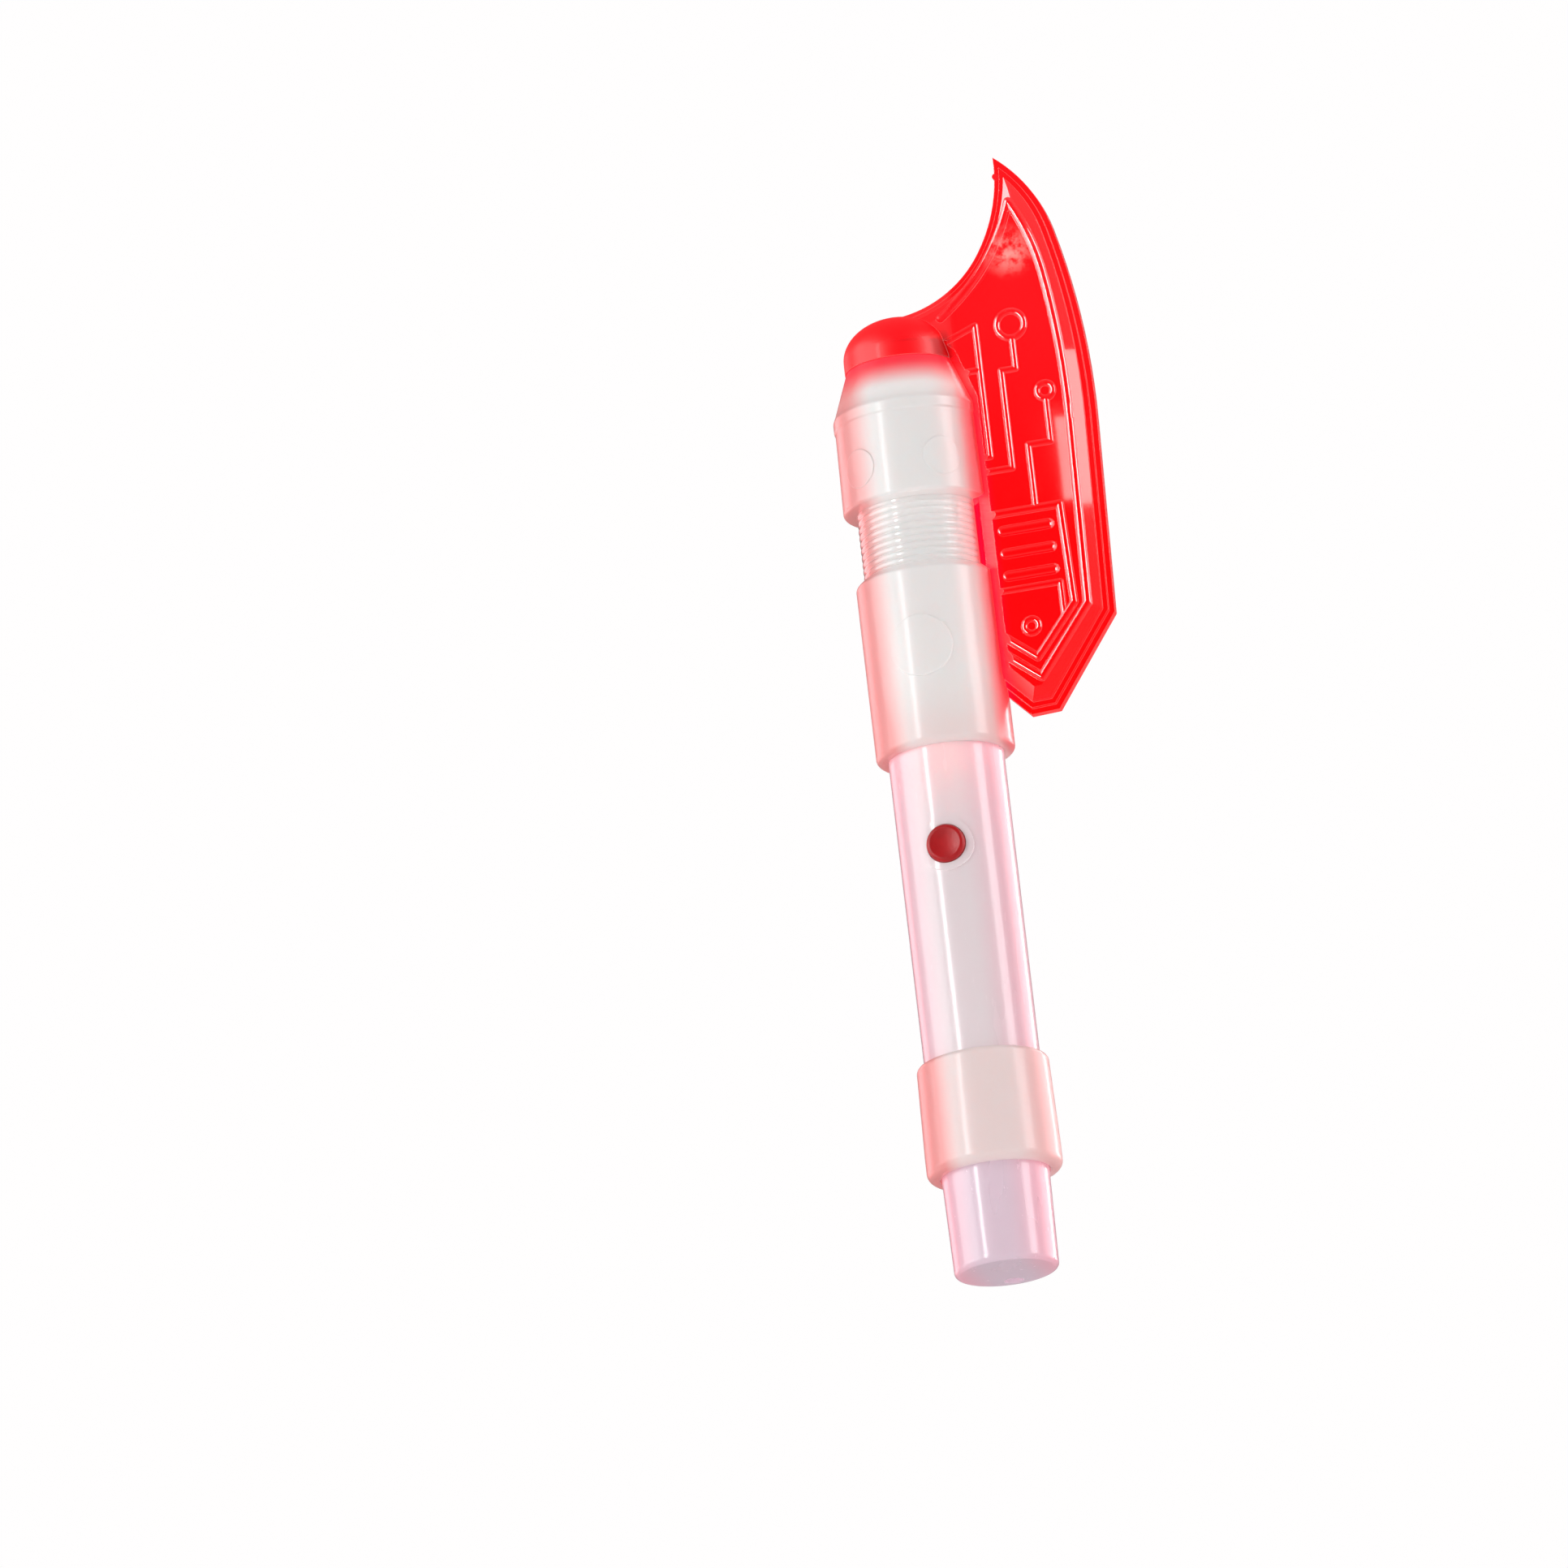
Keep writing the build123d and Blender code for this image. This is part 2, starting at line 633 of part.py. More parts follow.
def curved_ridge(curves, r):
    y = -blade_half_t + ridge_sink
    parts = []
    for curve in curves:
        path = Pos(0, y, 0) * (Plane.XZ * curve)
        parts.append(sweep(Plane(path @ 0, z_dir=path % 0) * Circle(r), path=path))
        parts.append(Pos(*(path @ 0)) * Sphere(r))
    return parts


def ring(point, r_mid, r):
    x, z = at(point)
    return [Pos(x, -blade_half_t + ridge_sink, z) * Rot(X=90) * Torus(r_mid, r)]


def traces():
    """The pattern of raised lines, rings and bars on one face of the blade."""
    parts = []
    left = ThreePointArc(at(rib_start), at(rib_mid), at(apex))
    right_low = Line(at(rib_corner), at(rib_belly))
    right = TangentArc(right_low @ 1, at(rib_shoulder), tangent=right_low % 1)
    right_top = TangentArc(right @ 1, at(apex), tangent=right % 1)
    parts += curved_ridge([left, right, right_top], ridge_r)
    parts += ridge([at(rib_belly), at(rib_corner), at(rib_toe), at((0.2, -78.0))], ridge_r)
    parts += ridge([at((0.2, -42.6)), at(panel_top), at(panel_corner), at(panel_toe), at((0.2, -73.3))],
                   0.9 * ridge_r)
    parts += [Pos(*at_surface(apex)) * Sphere(ridge_r)]
    parts += ridge([at((0.2, -62.4)), at((16.8, -62.4)), at((16.8, -71.5))], trace_r)
    parts += ring((8.3, -72.4), 1.85, trace_r)
    parts += ring((11.9, 5.2), 3.45, trace_r)
    parts += ridge([at((11.9, 1.3)), at((11.9, -6.2)), at((8.2, -6.2)), at((8.2, -31.4)), at((0, -31.4))],
                   trace_r)
    parts += ring((18.6, -13.1), 2.0, trace_r)
    parts += ridge([at((18.6, -15.5)), at((18.6, -26.2)), at((12.8, -26.2)), at((12.8, -42.6))], trace_r)
    parts += ridge([at((-5.0, 3.4)), at((3.0, 6.4)), at((3.0, -27.6)), at((-1, -27.6))], trace_r)
    parts += ridge([at((-3.0, -5.1)), at((3.0, -5.1))], trace_r)
    return parts


def slots():
    """Three round-ended grooves across the panel."""
    parts = []
    for up in (-47.1, -53.0, -58.8):
        parts += ridge([at((4.0, up)), at((15.6, up))], bar_r, blade_half_t - bar_depth + bar_r + ridge_sink)
    return parts


def at_surface(point):
    x, z = at(point)
    return (x, -blade_half_t + ridge_sink, z)


def pin_points():
    return [at((tip[0] + 0.1, tip[1] - 5.0)), at((toe[0] - 3.4, toe[1] + 2.6))]


def blade_half():
    """The front half of the blade and its cap, with its flat joint face at y = 0."""
    outer = slab(0, flange_t) + slab(flange_w, step_t)
    outer += bevelled_slab(flange_w + step_w, blade_half_t, bevel_w, bevel_h)
    inset = flange_w + step_w + blade_wall
    hollow = bevelled_slab(inset, blade_half_t - blade_wall, hollow_bevel_w, hollow_bevel_h)
    slope = spine_slope()
    outer = outer.fuse(*traces()).cut(*slots()) - slope
    hollow -= Pos(0.6, 1.0, 0) * slope
    barrel_zone = spun(barrel_profile(blade_gap))
    spine_zone = spun(barrel_profile(blade_gap + blade_wall))
    outer += dome(dome_r, dome_rise, rim_z)
    outer -= barrel_zone
    hollow -= spine_zone
    outer -= hollow
    outer -= dome(dome_r - dome_wall, dome_rise - dome_wall, rim_z - 1)
    half = block(-60, 120, -60, 0, rim_z - 160, rim_z + 80)
    return outer & half


def blade_front_shell():
    shell = blade_half()
    for x, z in pin_points():
        shell += stub(x, z, -flange_t, pin_h, pin_r)
    return shell


def blade_rear_shell():
    shell = mirror(blade_half(), Plane.XZ)
    for x, z in pin_points():
        shell -= stub(x, z, -1, pin_h + 0.1, pin_r + fit_gap)
    return shell


# --- the whole baton ---

def contact_with_dimple():
    return top_contact(cell_x * -1) + dimple(-cell_x, top_plate_z, False)


def parts():
    """Every piece by name."""
    up_spring_z = plate_z + plate_t
    front = board_y - board_t
    return {
        "blade_front_shell": blade_front_shell(),
        "blade_rear_shell": blade_rear_shell(),
        "barrel": barrel(),
        "grip_tube": grip_tube(),
        "lower_collar": lower_collar(),
        "end_cap": end_cap(),
        "cap_screw": cap_screw(),
        "bridge_plate": bridge_plate(),
        "bridge_spring": contact_spring(-cell_x, up_spring_z, up_cell_z),
        "cell_upright": cell(-cell_x, up_cell_z, True),
        "cell_inverted": cell(cell_x, down_cell_z, False),
        "battery_carrier": battery_carrier(),
        "positive_contact": contact_with_dimple(),
        "negative_contact": top_contact(cell_x),
        "negative_spring": contact_spring(cell_x, top_plate_z, down_cell_z + cell_len),
        "circuit_board": circuit_board(),
        "flasher_chip": flasher_chip(),
        "led_resistor": led_resistor(),
        "switch_case": switch_case(),
        "switch_plunger": switch_plunger(),
        "push_button": push_button(),
        "barrel_led": led(0, front - leg_r - 0.02, board_z1 + 2.0),
        "barrel_led_legs": board_led_legs(),
        "led_holder": led_holder(),
        "led_board": led_board(),
        "head_led_left": led(-head_led_x, 0, holder_z0 + holder_floor),
        "head_led_right": led(head_led_x, 0, holder_z0 + holder_floor),
        "head_led_legs": head_led_legs(),
        "battery_lead_red": battery_lead(-1),
        "battery_lead_black": battery_lead(1),
        "head_lead_red": head_lead(-1),
        "head_lead_black": head_lead(1),
    }


if __name__ == "__main__":
    os.makedirs("parts", exist_ok=True)
    for name, shape in parts().items():
        export_step(shape, f"parts/{name}.step")
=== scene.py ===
import bpy
from math import atan2, cos, radians, sin
from mathutils import Matrix, Vector


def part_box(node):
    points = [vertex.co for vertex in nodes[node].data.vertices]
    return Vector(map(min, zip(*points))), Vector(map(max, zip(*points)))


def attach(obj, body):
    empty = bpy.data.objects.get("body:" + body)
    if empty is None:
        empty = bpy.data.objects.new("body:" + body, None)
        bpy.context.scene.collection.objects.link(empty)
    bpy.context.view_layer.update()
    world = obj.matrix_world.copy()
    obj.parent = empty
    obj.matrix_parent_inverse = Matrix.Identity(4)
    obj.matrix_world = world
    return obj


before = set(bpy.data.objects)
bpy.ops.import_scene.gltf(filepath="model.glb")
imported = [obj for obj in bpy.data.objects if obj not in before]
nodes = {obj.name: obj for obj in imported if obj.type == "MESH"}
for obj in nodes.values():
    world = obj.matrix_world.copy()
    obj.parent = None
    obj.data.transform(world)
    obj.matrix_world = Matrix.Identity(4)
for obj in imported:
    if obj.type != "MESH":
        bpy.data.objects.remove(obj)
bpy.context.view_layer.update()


class Signal:
    # a socket in a material's graph; sums and products of signals add Math nodes
    def __init__(self, paint, socket):
        self.paint = paint
        self.socket = socket

    def math(self, operation, *others):
        return self.paint.node("ShaderNodeMath", {"operation": operation}, [self, *others])

    def __add__(self, other):
        return self.math("ADD", other)

    def __radd__(self, other):
        return self.math("ADD", other)

    def __mul__(self, other):
        return self.math("MULTIPLY", other)

    def __rmul__(self, other):
        return self.math("MULTIPLY", other)

    def __sub__(self, other):
        return self.math("SUBTRACT", other)

    def __rsub__(self, other):
        return self.paint.node("ShaderNodeMath", {"operation": "SUBTRACT"}, [other, self])

    def above(self, low, high):
        # 0 below low, 1 above high, smooth between
        return self.paint.node("ShaderNodeMapRange", {"interpolation_type": "SMOOTHSTEP"}, [self, low, high])

    def below(self, low, high):
        return 1 - self.above(low, high)


class Paint:
    # a material with its Principled shader and its graph
    def __init__(self, name, **fixed):
        self.material = bpy.data.materials.new(name)
        self.material.use_nodes = True
        self.tree = self.material.node_tree
        self.shader = self.tree.nodes["Principled BSDF"]
        for socket, value in fixed.items():
            self.shader.inputs[socket.replace("_", " ")].default_value = value
        self.place = self.node("ShaderNodeTexCoord", out="Object")

    def node(self, kind, settings=None, inputs=(), out=0):
        made = self.tree.nodes.new(kind)
        for key, value in (settings or {}).items():
            setattr(made, key, value)
        pairs = inputs.items() if isinstance(inputs, dict) else enumerate(inputs)
        for key, value in pairs:
            if isinstance(value, Signal):
                self.tree.links.new(value.socket, made.inputs[key])
            elif value is not None:
                made.inputs[key].default_value = value
        return Signal(self, made.outputs[out])

    def axis(self, letter):
        return self.node("ShaderNodeSeparateXYZ", None, [self.place], out=letter)

    def noise(self, scale, detail=2.0, rough=0.5, stretch=None):
        where = self.place
        if stretch:
            where = self.node("ShaderNodeMapping", None, {"Vector": where, "Scale": stretch})
        sockets = {"Vector": where, "Scale": scale, "Detail": detail, "Roughness": rough}
        return self.node("ShaderNodeTexNoise", None, sockets)

    def blend(self, share, first, second):
        # a colour between first and second
        return self.node("ShaderNodeMix", {"data_type": "RGBA"}, {0: share, 6: first, 7: second}, out=2)

    def rounded(self, radius):
        # the normal with sharp corners softened to that radius
        return self.node("ShaderNodeBevel", {"samples": 6}, {"Radius": radius})

    def corner(self, rounded):
        # 1 on sharp corners, 0 on flat and smooth surfaces
        flat = self.node("ShaderNodeNewGeometry", out="True Normal")
        same = self.node("ShaderNodeVectorMath", {"operation": "DOT_PRODUCT"}, [rounded, flat], out="Value")
        return (1 - same).above(0.03, 0.2)

    def bump(self, height, depth, normal=None):
        return self.node("ShaderNodeBump", None, {"Height": height, "Distance": depth, "Normal": normal})

    def feed(self, **links):
        for socket, signal in links.items():
            self.tree.links.new(signal.socket, self.shader.inputs[socket.replace("_", " ")])
        return self


def rgb(r, g, b):
    return (r, g, b, 1.0)


def shade(colour, share):
    # the colour with only that share of its light
    return rgb(*[part * share for part in colour[:3]])


def give(paint, *names):
    for name in names:
        mesh = nodes[name].data
        mesh.materials.clear()
        mesh.materials.append(paint.material)


print("plastics that show")
clearRed = {
    "low": rgb(0.86, 0.0, 0.004), "lowGlow": rgb(1.0, 0.0, 0.003),
    "high": rgb(0.93, 0.012, 0.018), "highGlow": rgb(1.0, 0.016, 0.026),
    "spine": rgb(0.8, 0.0, 0.09), "spineGlow": rgb(0.95, 0.0, 0.09), "spineShare": 0.6,
    "cap": rgb(0.55, 0.0, 0.008), "capGlow": rgb(0.35, 0.0, 0.01), "capShare": 0.6,
    # the foot colours are painted shade, darker red where the cap meets the blade
    "foot": rgb(0.2, 0.0, 0.0), "footShadeGlow": rgb(0.12, 0.0, 0.0),
    # the blush colours are a painted reflection, a pale mottled patch near the point
    "paintedReflection": rgb(1.0, 0.26, 0.22), "paintedReflectionGlow": rgb(1.0, 0.7, 0.64),
    # the corner colour is a painted highlight on sharp edges
    "corner": rgb(1.0, 0.75, 0.75), "cornerHighlightShare": 0.65, "edge": 0.00025,
    "palerZ": (0.185, 0.25), "spineX": (0.0165, 0.0215), "spineTop": (0.215, 0.228),
    "capX": (0.0135, 0.017), "capZ": (0.2325, 0.2335),
    "footShadeX": ((0.008, 0.0125), (0.0125, 0.0155)), "footShadeTop": (0.237, 0.243),
    "paintedReflectionAt": (0.0316, -0.0055, 0.2575), "paintedReflectionSize": (0.0005, 0.008),
    "transmission": 0.85, "glow": 0.42, "roughness": 0.06, "capRoughness": 0.35, "waviness": 0.0001}


def clearRedPaint():
    # deeper low down and paler towards the point, with a painted reflection under it as a frosted pale
    # mottled patch, painted shade at the cap's foot beside the blade, painted highlights on sharp corners,
    # and a duller darker cap
    look = clearRed
    paint = Paint("clearRedStyrene", IOR=1.59, Transmission_Weight=look["transmission"],
                  Emission_Strength=look["glow"], Specular_IOR_Level=0.15, Coat_Roughness=0.03,
                  Coat_IOR=2.6)
    height = paint.axis("Z")
    across = paint.axis("X")
    cloud = paint.noise(24, 3, 0.55).above(0.4, 0.75)
    scuff = paint.noise(210, 4, 0.6, (1, 1, 0.35)).above(0.52, 0.8)
    waves = paint.noise(45, 2, 0.4) + paint.noise(380, 2, 0.5) * 0.03
    paler = height.above(*look["palerZ"]) * 0.8 + cloud * 0.2
    spine = across.below(*look["spineX"]) * height.below(*look["spineTop"]) * look["spineShare"]
    cap = across.below(*look["capX"]) * height.above(*look["capZ"])
    # painted shade: the cap's foot beside the blade is darkened in colour and glow
    footShadeStart, footShadeEnd = look["footShadeX"]
    foot = across.below(*footShadeEnd) * across.above(*footShadeStart) * height.below(*look["footShadeTop"])
    # painted reflection: a pale mottled patch near the point, also made rougher
    away = paint.node("ShaderNodeVectorMath", {"operation": "DISTANCE"}, [paint.place, look["paintedReflectionAt"]],
                      out="Value")
    mottle = paint.noise(330, 4, 0.65).above(0.36, 0.62)
    paintedReflection = away.below(*look["paintedReflectionSize"]) * mottle
    base = paint.blend(paler, look["low"], look["high"])
    base = paint.blend(spine, base, look["spine"])
    base = paint.blend(foot * 0.8, base, look["foot"])
    base = paint.blend(cap * look["capShare"], base, look["cap"])
    base = paint.blend(paintedReflection, base, look["paintedReflection"])
    soft = paint.rounded(look["edge"])
    shine = paint.blend(paler, look["lowGlow"], look["highGlow"])
    shine = paint.blend(spine, shine, look["spineGlow"])
    shine = paint.blend(cap * look["capShare"], shine, look["capGlow"])
    shine = paint.blend(foot * 0.9, shine, look["footShadeGlow"])
    # painted highlight: paler glow on sharp corners and edges
    shine = paint.blend(paint.corner(soft) * look["cornerHighlightShare"], shine, look["corner"])
    shine = paint.blend(paintedReflection, shine, look["paintedReflectionGlow"])
    paint.feed(Base_Color=base, Emission_Color=shine, Coat_Weight=1 - cap * 0.98,
               Roughness=scuff * 0.08 + paintedReflection * 0.2 + cap * look["capRoughness"] + look["roughness"],
               Normal=paint.bump(waves, look["waviness"], soft))
    return paint


milky = {
    "colour": rgb(0.86, 0.86, 0.845), "glowColour": rgb(1.0, 0.97, 0.95),
    # the pink colours are a painted pink glow
    "paintedPink": rgb(0.85, 0.34, 0.33), "paintedPinkGlow": rgb(1.0, 0.35, 0.34),
    # the red colours are a painted red glow from the blade and its cap
    "red": rgb(0.90, 0.05, 0.08), "paintedRedGlow": rgb(1.0, 0.02, 0.04),
    # the corner colour is a painted highlight on sharp edges
    "corner": rgb(1.0, 1.0, 1.0), "cornerHighlightShare": 0.45, "edge": 0.0003,
    "barrelZ": (0.10, 0.14), "bottomGlowZ": (0.131, 0.152), "coneGlowZ": (0.2200, 0.2250), "underCapGlowZ": (0.2245, 0.2325),
    "leftGlowX": (0.0045, 0.0125), "rightGlowX": (0.008, 0.016), "bladeGlowX": (0.0140, 0.0170),
    "neckLow": (0.1795, 0.1805), "neckHigh": (0.1965, 0.1975),
    "roughness": 0.3, "subsurface": 0.5, "glow": 0.4, "waviness": 0.00005}


def milkyPaint():
    # white wall with a painted white glow, stronger near the top, a painted pink glow to both sides, a
    # painted red glow beside the blade and under its cap, painted highlights on sharp corners, shiny neck
    look = milky
    paint = Paint("milkyPolyethylene", IOR=1.5, Subsurface_Weight=look["subsurface"],
                  Subsurface_Radius=(1.0, 0.7, 0.65), Subsurface_Scale=0.003,
                  Emission_Strength=look["glow"], Coat_Roughness=0.12)
    height = paint.axis("Z")
    across = paint.axis("X")
    cloud = paint.noise(55, 4, 0.6)
    flow = paint.noise(85, 3, 0.5, (1, 1, 0.08)).above(0.45, 0.8)
    scratch = paint.noise(420, 5, 0.7, (1, 1, 0.2)).above(0.62, 0.74)
    grain = paint.noise(900, 3, 0.6) * 0.2 + flow * 0.4 + cloud * 0.6
    barrel = height.above(*look["barrelZ"])
    # painted glow: pinker to both sides, at the lower bulge's foot and on the collar
    sides = (across * -1).above(*look["leftGlowX"]) * 0.95 + across.above(*look["rightGlowX"]) * 0.4
    neck = height.above(*look["neckLow"]) * height.below(*look["neckHigh"])
    bottomGlow = height.below(*look["bottomGlowZ"]) * barrel * 0.22
    # painted glow: red beside the blade and under its cap
    underCapGlow = height.above(*look["underCapGlowZ"])
    bladeGlow = across.above(*look["bladeGlowX"]) * barrel
    paintedPink = (sides + bottomGlow + underCapGlow * 0.5 + (1 - barrel) * 0.25 + cloud * 0.05).math("MINIMUM", 1.0)
    red = (bladeGlow * 0.75 + underCapGlow).math("MINIMUM", 1.0)
    # painted glow: the white emission over the whole wall, stronger near the cone and under the cap
    level = height.above(*look["coneGlowZ"]) * 0.28 + underCapGlow * 0.3 + 0.3
    soft = paint.rounded(look["edge"])
    tone = paint.blend(red, paint.blend(paintedPink, look["colour"], look["paintedPink"]), look["red"])
    # painted highlight: whiter on sharp corners and edges
    tone = paint.blend(paint.corner(soft) * look["cornerHighlightShare"], tone, look["corner"])
    shine = paint.blend(red, paint.blend(paintedPink, look["glowColour"], look["paintedPinkGlow"]), look["paintedRedGlow"])
    shine = paint.blend(level, rgb(0.0, 0.0, 0.0), shine)
    paint.feed(Base_Color=tone, Emission_Color=shine, Coat_Weight=neck * 0.75 + 0.25,
               Roughness=flow * 0.10 + scratch * 0.12 - neck * 0.16 + look["roughness"],
               Normal=paint.bump(grain, look["waviness"], soft))
    return paint


natural = {
    # the edge colour is a painted pink glow at the sides
    "tube": rgb(0.88, 0.77, 0.79), "cap": rgb(0.75, 0.64, 0.71), "edge": rgb(0.90, 0.50, 0.58),
    "sideGlowX": (0.0035, 0.0135), "roughness": 0.24, "subsurface": 0.45, "waviness": 0.00003}


def naturalPaint(name, colour, transmission, glow):
    # unpigmented plastic, lilac in the middle, with a painted glow over all of it and a painted pink glow to
    # both sides
    paint = Paint(name, IOR=1.49, Transmission_Weight=transmission, Subsurface_Weight=natural["subsurface"],
                  Subsurface_Radius=(1.0, 0.8, 0.85), Subsurface_Scale=0.003, Emission_Strength=glow,
                  Coat_Weight=0.5, Coat_Roughness=0.08)
    sides = paint.axis("X").math("ABSOLUTE").above(*natural["sideGlowX"])
    cloud = paint.noise(70, 4, 0.6)
    flow = paint.noise(60, 3, 0.5, (1, 1, 0.12)).above(0.4, 0.8)
    scratch = paint.noise(380, 5, 0.7, (1, 1, 0.3)).above(0.62, 0.75)
    # painted glow: pinker to both sides, and the whole tone glows
    tone = paint.blend(sides * 0.8 + cloud * 0.1, colour, natural["edge"])
    paint.feed(Base_Color=tone, Roughness=flow * 0.06 + scratch * 0.12 + natural["roughness"],
               Emission_Color=tone, Normal=paint.bump(cloud + flow * 0.4, natural["waviness"]))
    return paint


naturalCap = naturalPaint("naturalCap", natural["cap"], 0.25, 0.2)
give(clearRedPaint(), "blade_front_shell", "blade_rear_shell")
give(milkyPaint(), "barrel", "lower_collar")
give(naturalPaint("naturalTube", natural["tube"], 0.0, 0.12), "grip_tube")
give(naturalCap, "end_cap")

print("inner pieces")
inner = {
    "white": rgb(0.80, 0.80, 0.78), "black": rgb(0.02, 0.02, 0.021), "ceramic": rgb(0.05, 0.05, 0.06),
    "plunger": rgb(0.75, 0.74, 0.70), "button": rgb(0.62, 0.012, 0.016),
    "redSleeve": rgb(0.55, 0.01, 0.012), "blackSleeve": rgb(0.015, 0.015, 0.016),
    "nickel": rgb(0.66, 0.63, 0.57), "zinc": rgb(0.60, 0.61, 0.62), "tin": rgb(0.72, 0.72, 0.70)}


def plainPlastic(name, colour, roughness, speck=0.08):
    paint = Paint(name, IOR=1.5)
    cloud = paint.noise(140, 4, 0.6)
    grain = paint.noise(700, 3, 0.6)
    paint.feed(Base_Color=paint.blend(cloud.above(0.35, 0.7), colour, shade(colour, 1 - speck)),
               Roughness=cloud * 0.15 + roughness, Normal=paint.bump(grain, 0.00003))
    return paint


def metalPaint(name, colour, roughness):
    paint = Paint(name, Metallic=1.0)
    brushed = paint.noise(300, 4, 0.6, (1, 1, 0.15))
    stain = paint.noise(120, 4, 0.6).above(0.5, 0.8)
    paint.feed(Base_Color=paint.blend(stain * 0.5, colour, shade(colour, 0.72)),
               Roughness=brushed * 0.2 + roughness, Normal=paint.bump(brushed, 0.00002))
    return paint


lamp = {"body": (rgb(0.9, 0.02, 0.02), rgb(0.95, 0.05, 0.04)),
        "glowColour": (rgb(1.0, 0.02, 0.015), rgb(1.0, 0.08, 0.05)), "glow": 6.0, "roughness": 0.06}


def lampPaint():
    paint = Paint("redLamp", IOR=1.5, Transmission_Weight=0.5, Emission_Strength=lamp["glow"])
    core = paint.noise(150, 2, 0.5)
    paint.feed(Base_Color=paint.blend(core, *lamp["body"]), Roughness=core * 0.05 + lamp["roughness"],
               Emission_Color=paint.blend(core.above(0.3, 0.8), *lamp["glowColour"]))
    return paint


jacket = {"sleeve": rgb(0.03, 0.10, 0.19), "band": rgb(0.62, 0.48, 0.22), "worn": rgb(0.3, 0.3, 0.3),
          "steel": rgb(0.62, 0.61, 0.58), "bandDepth": 0.0125, "bandSoft": 0.0002,
          "bareEnd": (0.0008, 0.0011), "roughness": 0.24}


def jacketPaint(low, high):
    # a printed sleeve with a paler band, bare steel at both ends
    paint = Paint("cellJacket", IOR=1.5)
    height = paint.axis("Z")
    bare, covered = jacket["bareEnd"]
    bandStart = high - jacket["bandDepth"]
    ends = 1 - height.above(low + bare, low + covered) * height.below(high - covered, high - bare)
    band = height.above(bandStart, bandStart + jacket["bandSoft"])
    wear = paint.noise(200, 4, 0.6).above(0.55, 0.8)
    sleeve = paint.blend(wear * 0.3, paint.blend(band, jacket["sleeve"], jacket["band"]), jacket["worn"])
    paint.feed(Base_Color=paint.blend(ends, sleeve, jacket["steel"]), Metallic=ends,
               Roughness=wear * 0.12 + jacket["roughness"],
               Normal=paint.bump(paint.noise(500, 2, 0.5), 0.00002))
    return paint


solderMask = {"green": rgb(0.012, 0.13, 0.045), "track": rgb(0.04, 0.26, 0.09), "tracksPerMetre": 120.0,
              "roughness": 0.25}


def boardPaint():
    paint = Paint("solderMask", IOR=1.5, Coat_Weight=0.4, Coat_Roughness=0.12)
    lanes = {"Vector": paint.place, "Scale": solderMask["tracksPerMetre"], "Distortion": 3.0, "Detail": 1.0,
             "Detail Scale": 0.4}
    track = paint.node("ShaderNodeTexWave", {"bands_direction": "X"}, lanes).above(0.62, 0.7)
    paint.feed(Base_Color=paint.blend(track * 0.5, solderMask["green"], solderMask["track"]),
               Roughness=paint.noise(200) * 0.15 + solderMask["roughness"],
               Normal=paint.bump(track, 0.00003))
    return paint


nickel = metalPaint("nickelPlate", inner["nickel"], 0.22)
give(plainPlastic("whiteCarrier", inner["white"], 0.4), "battery_carrier", "led_holder")
give(plainPlastic("blackPlastic", inner["black"], 0.35), "flasher_chip", "switch_case")
give(plainPlastic("resistorCeramic", inner["ceramic"], 0.3), "led_resistor")
give(plainPlastic("plungerPlastic", inner["plunger"], 0.3), "switch_plunger")
give(plainPlastic("redButtonPlastic", inner["button"], 0.28, 0.2), "push_button")
give(plainPlastic("redSleeve", inner["redSleeve"], 0.4), "battery_lead_red", "head_lead_red")
give(plainPlastic("blackSleeve", inner["blackSleeve"], 0.4), "battery_lead_black", "head_lead_black")
give(nickel, "bridge_plate", "positive_contact", "negative_contact", "bridge_spring", "negative_spring")
give(metalPaint("zincScrew", inner["zinc"], 0.28), "cap_screw")
give(metalPaint("tinnedLeg", inner["tin"], 0.25), "barrel_led_legs", "head_led_legs")
give(lampPaint(), "barrel_led", "head_led_left", "head_led_right")
give(boardPaint(), "circuit_board", "led_board")
for cellName in ("cell_upright", "cell_inverted"):
    low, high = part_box(cellName)
    give(jacketPaint(low[2], high[2]), cellName)


def pick(piece, test):
    # edit mode with only the faces that pass the test selected
    bpy.ops.object.mode_set(mode="EDIT")
    bpy.ops.mesh.select_mode(type="FACE")
    bpy.ops.mesh.select_all(action="DESELECT")
    bpy.ops.object.mode_set(mode="OBJECT")
    for face in piece.data.polygons:
        face.select = test(face)
    bpy.ops.object.mode_set(mode="EDIT")


def settle(piece, paint, angle=40):
    bpy.ops.object.mode_set(mode="OBJECT")
    bpy.ops.object.transform_apply(location=True, rotation=True, scale=True)
    bpy.ops.object.shade_smooth_by_angle(angle=radians(angle))
    piece.data.materials.append(paint.material)


def copyTo(pattern, name, place, turn, body):
    # a copy with its own mesh, its place and turn put into that mesh
    piece = pattern.copy()
    piece.data = pattern.data.copy()
    bpy.context.scene.collection.objects.link(piece)
    piece.name = name
    piece.location = place
    piece.rotation_euler = turn
    bpy.ops.object.select_all(action="DESELECT")
    piece.select_set(True)
    bpy.context.view_layer.objects.active = piece
    bpy.ops.object.transform_apply(location=True, rotation=True, scale=True)
    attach(piece, body)


def middleOf(low, high):
    return (low[0] + high[0]) / 2, (low[1] + high[1]) / 2


upright = (0, 0, 0)
down = (radians(180), 0, 0)
toRear = (radians(-90), 0, 0)
toFront = (radians(90), 0, 0)
toLeft = (0, radians(180), 0)

